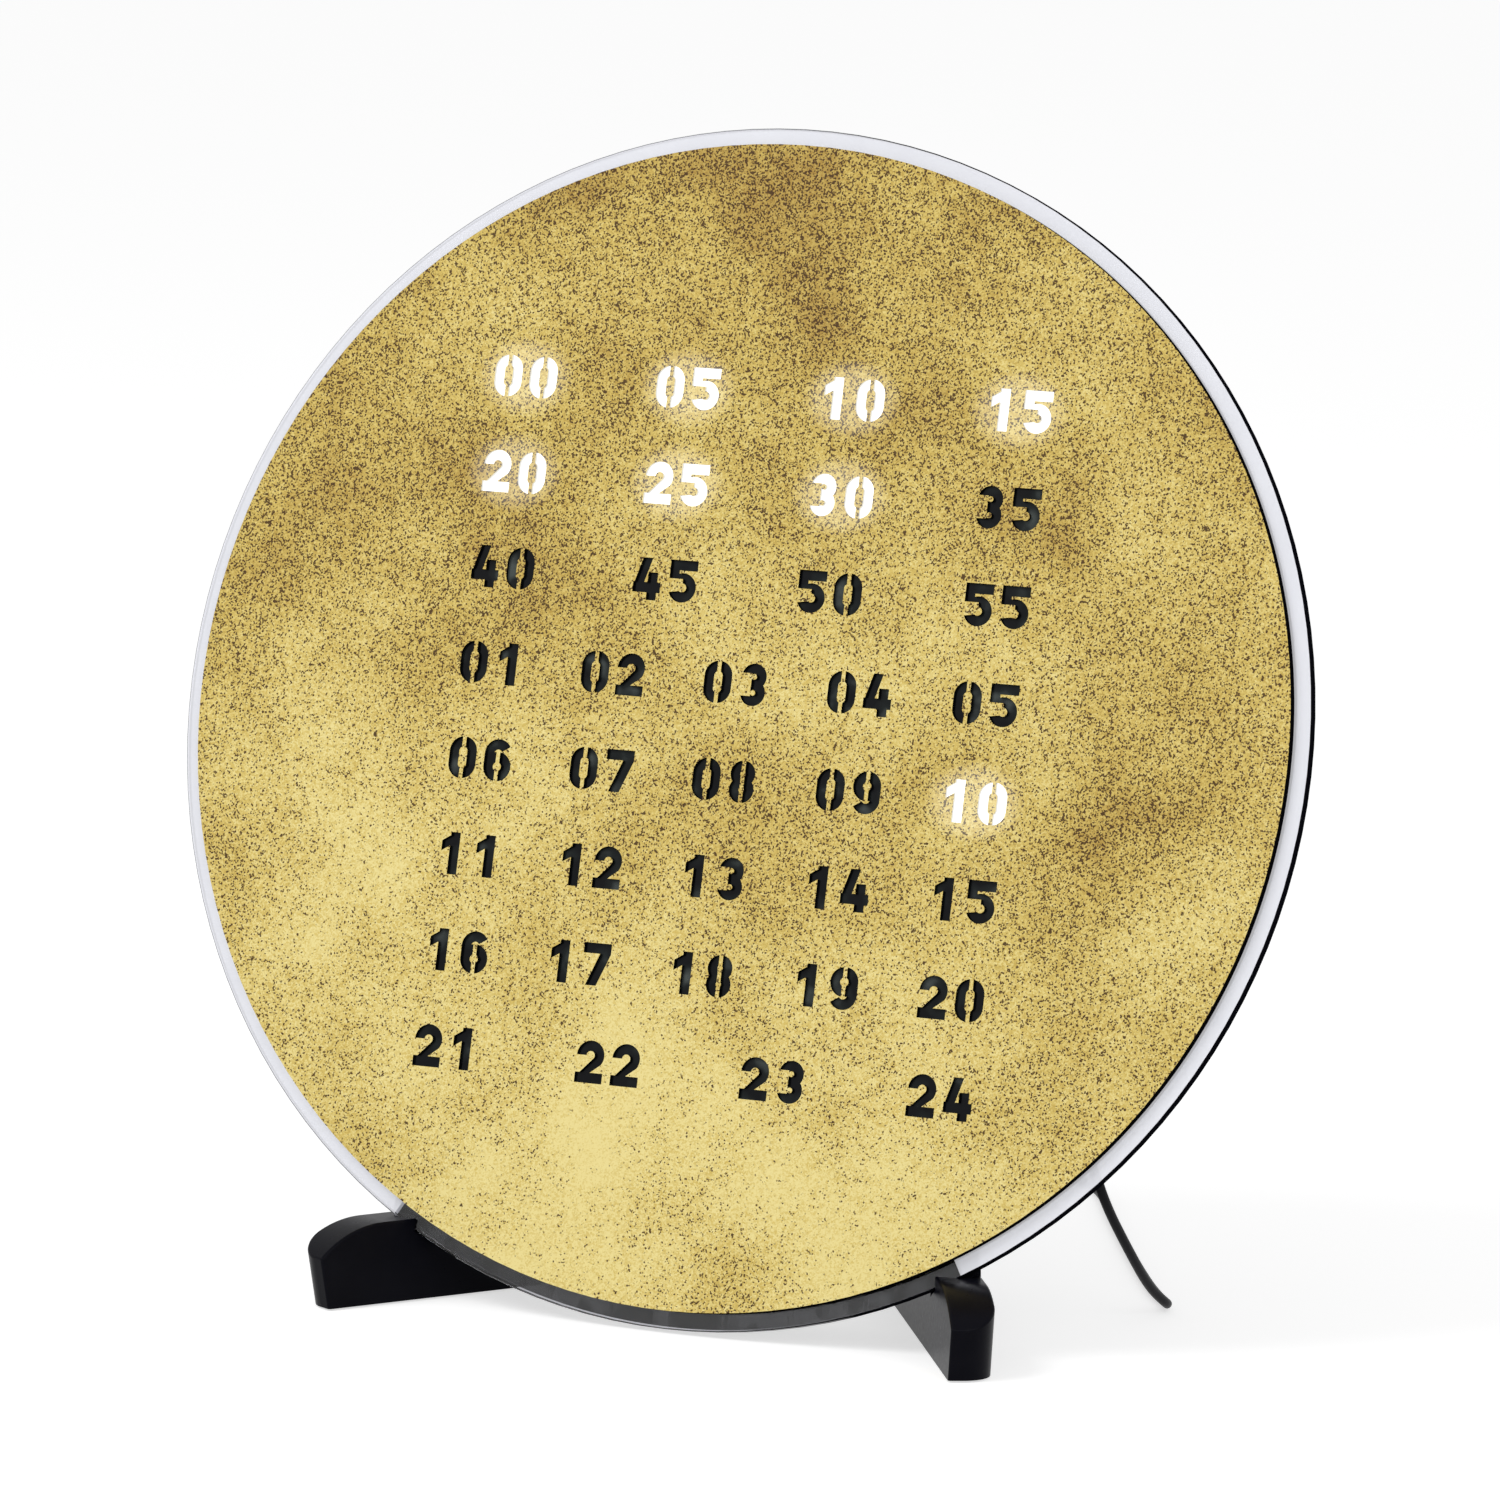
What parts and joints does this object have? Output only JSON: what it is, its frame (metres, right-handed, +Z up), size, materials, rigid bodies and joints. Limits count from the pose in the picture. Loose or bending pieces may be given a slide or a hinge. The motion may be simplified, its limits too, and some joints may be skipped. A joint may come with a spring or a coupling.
{
  "type": "light-up number clock",
  "caption": "Round table clock: speckled gold plate with stencil numbers lit from behind on a clear disc, two splayed black feet, housing behind and a power lead.",
  "frame": {"origin": "middle of the footprint of the clock without its lead, on the table", "axes": "+Z up, -Y towards the reader, +X to the reader's right"},
  "size_m": [0.3, 0.2793, 0.2934],
  "materials": {
    "plate_gold": "satin gold with fine dark brown speckle",
    "film_black": "gloss dark film",
    "clear_acrylic": "clear polished",
    "smoke_acrylic": "smoked polished",
    "foot_black": "satin black",
    "pad_rubber": "matt",
    "fastener_steel": "plain",
    "housing_black": "fine grain",
    "grid_white": "matt white",
    "board_green": "solder mask",
    "led_white": "milky lens",
    "parts_black": "moulded",
    "crystal_can": "plain",
    "cell_steel": "plain",
    "barrel_nickel": "bright",
    "cord_black": "satin",
    "tie_black": "woven"
  },
  "bodies": {
    "clock": {"front_plate": "plate_gold", "smoked_film": "film_black", "carrier_disc": "clear_acrylic", "stand_rail": "smoke_acrylic", "foot_left": "foot_black", "foot_right": "foot_black", "foot_pads": "pad_rubber", "foot_screws": "fastener_steel", "plate_studs": "fastener_steel", "stud_washers": "fastener_steel", "stud_nuts": "fastener_steel", "light_grid": "grid_white", "led_board": "board_green", "leds": "led_white", "board_screws": "fastener_steel", "controller_board": "board_green", "controller_spacers": "parts_black", "controller_screws": "fastener_steel", "board_connector": "parts_black", "main_chip": "parts_black", "clock_crystal": "crystal_can", "coin_holder": "parts_black", "coin_cell": "cell_steel", "push_switches": "parts_black", "rear_frame": "housing_black", "rear_cover": "housing_black", "cover_screws": "fastener_steel", "power_socket": "parts_black", "plug_barrel": "barrel_nickel", "power_plug": "parts_black", "cord_lead": "cord_black", "cord_coil": "cord_black", "cord_tail": "cord_black", "coil_tie": "tie_black", "usb_plug": "parts_black", "usb_shell": "fastener_steel"},
    "set_key": {"button_set": "housing_black", "plunger_set": "parts_black"},
    "up_key": {"button_up": "housing_black", "plunger_up": "parts_black"},
    "down_key": {"button_down": "housing_black", "plunger_down": "parts_black"},
    "door": {"battery_door": "housing_black"}
  },
  "joints": [
    {"name": "button_set_press", "type": "slide", "parent": "clock", "child": "set_key", "axis": [0, -0.9744, 0.225], "range_m": [0, 0.0008], "stiffness_N_per_m": 2000},
    {"name": "button_up_press", "type": "slide", "parent": "clock", "child": "up_key", "axis": [0, -0.9744, 0.225], "range_m": [0, 0.0008], "stiffness_N_per_m": 2000},
    {"name": "button_down_press", "type": "slide", "parent": "clock", "child": "down_key", "axis": [0, -0.9744, 0.225], "range_m": [0, 0.0008], "stiffness_N_per_m": 2000},
    {"name": "battery_door_turn", "type": "hinge", "parent": "clock", "child": "door", "pos_m": [0.05688, 0.01324, 0.07611], "axis": [0, -0.9744, 0.225], "range_deg": [0, 40]}
  ]
}
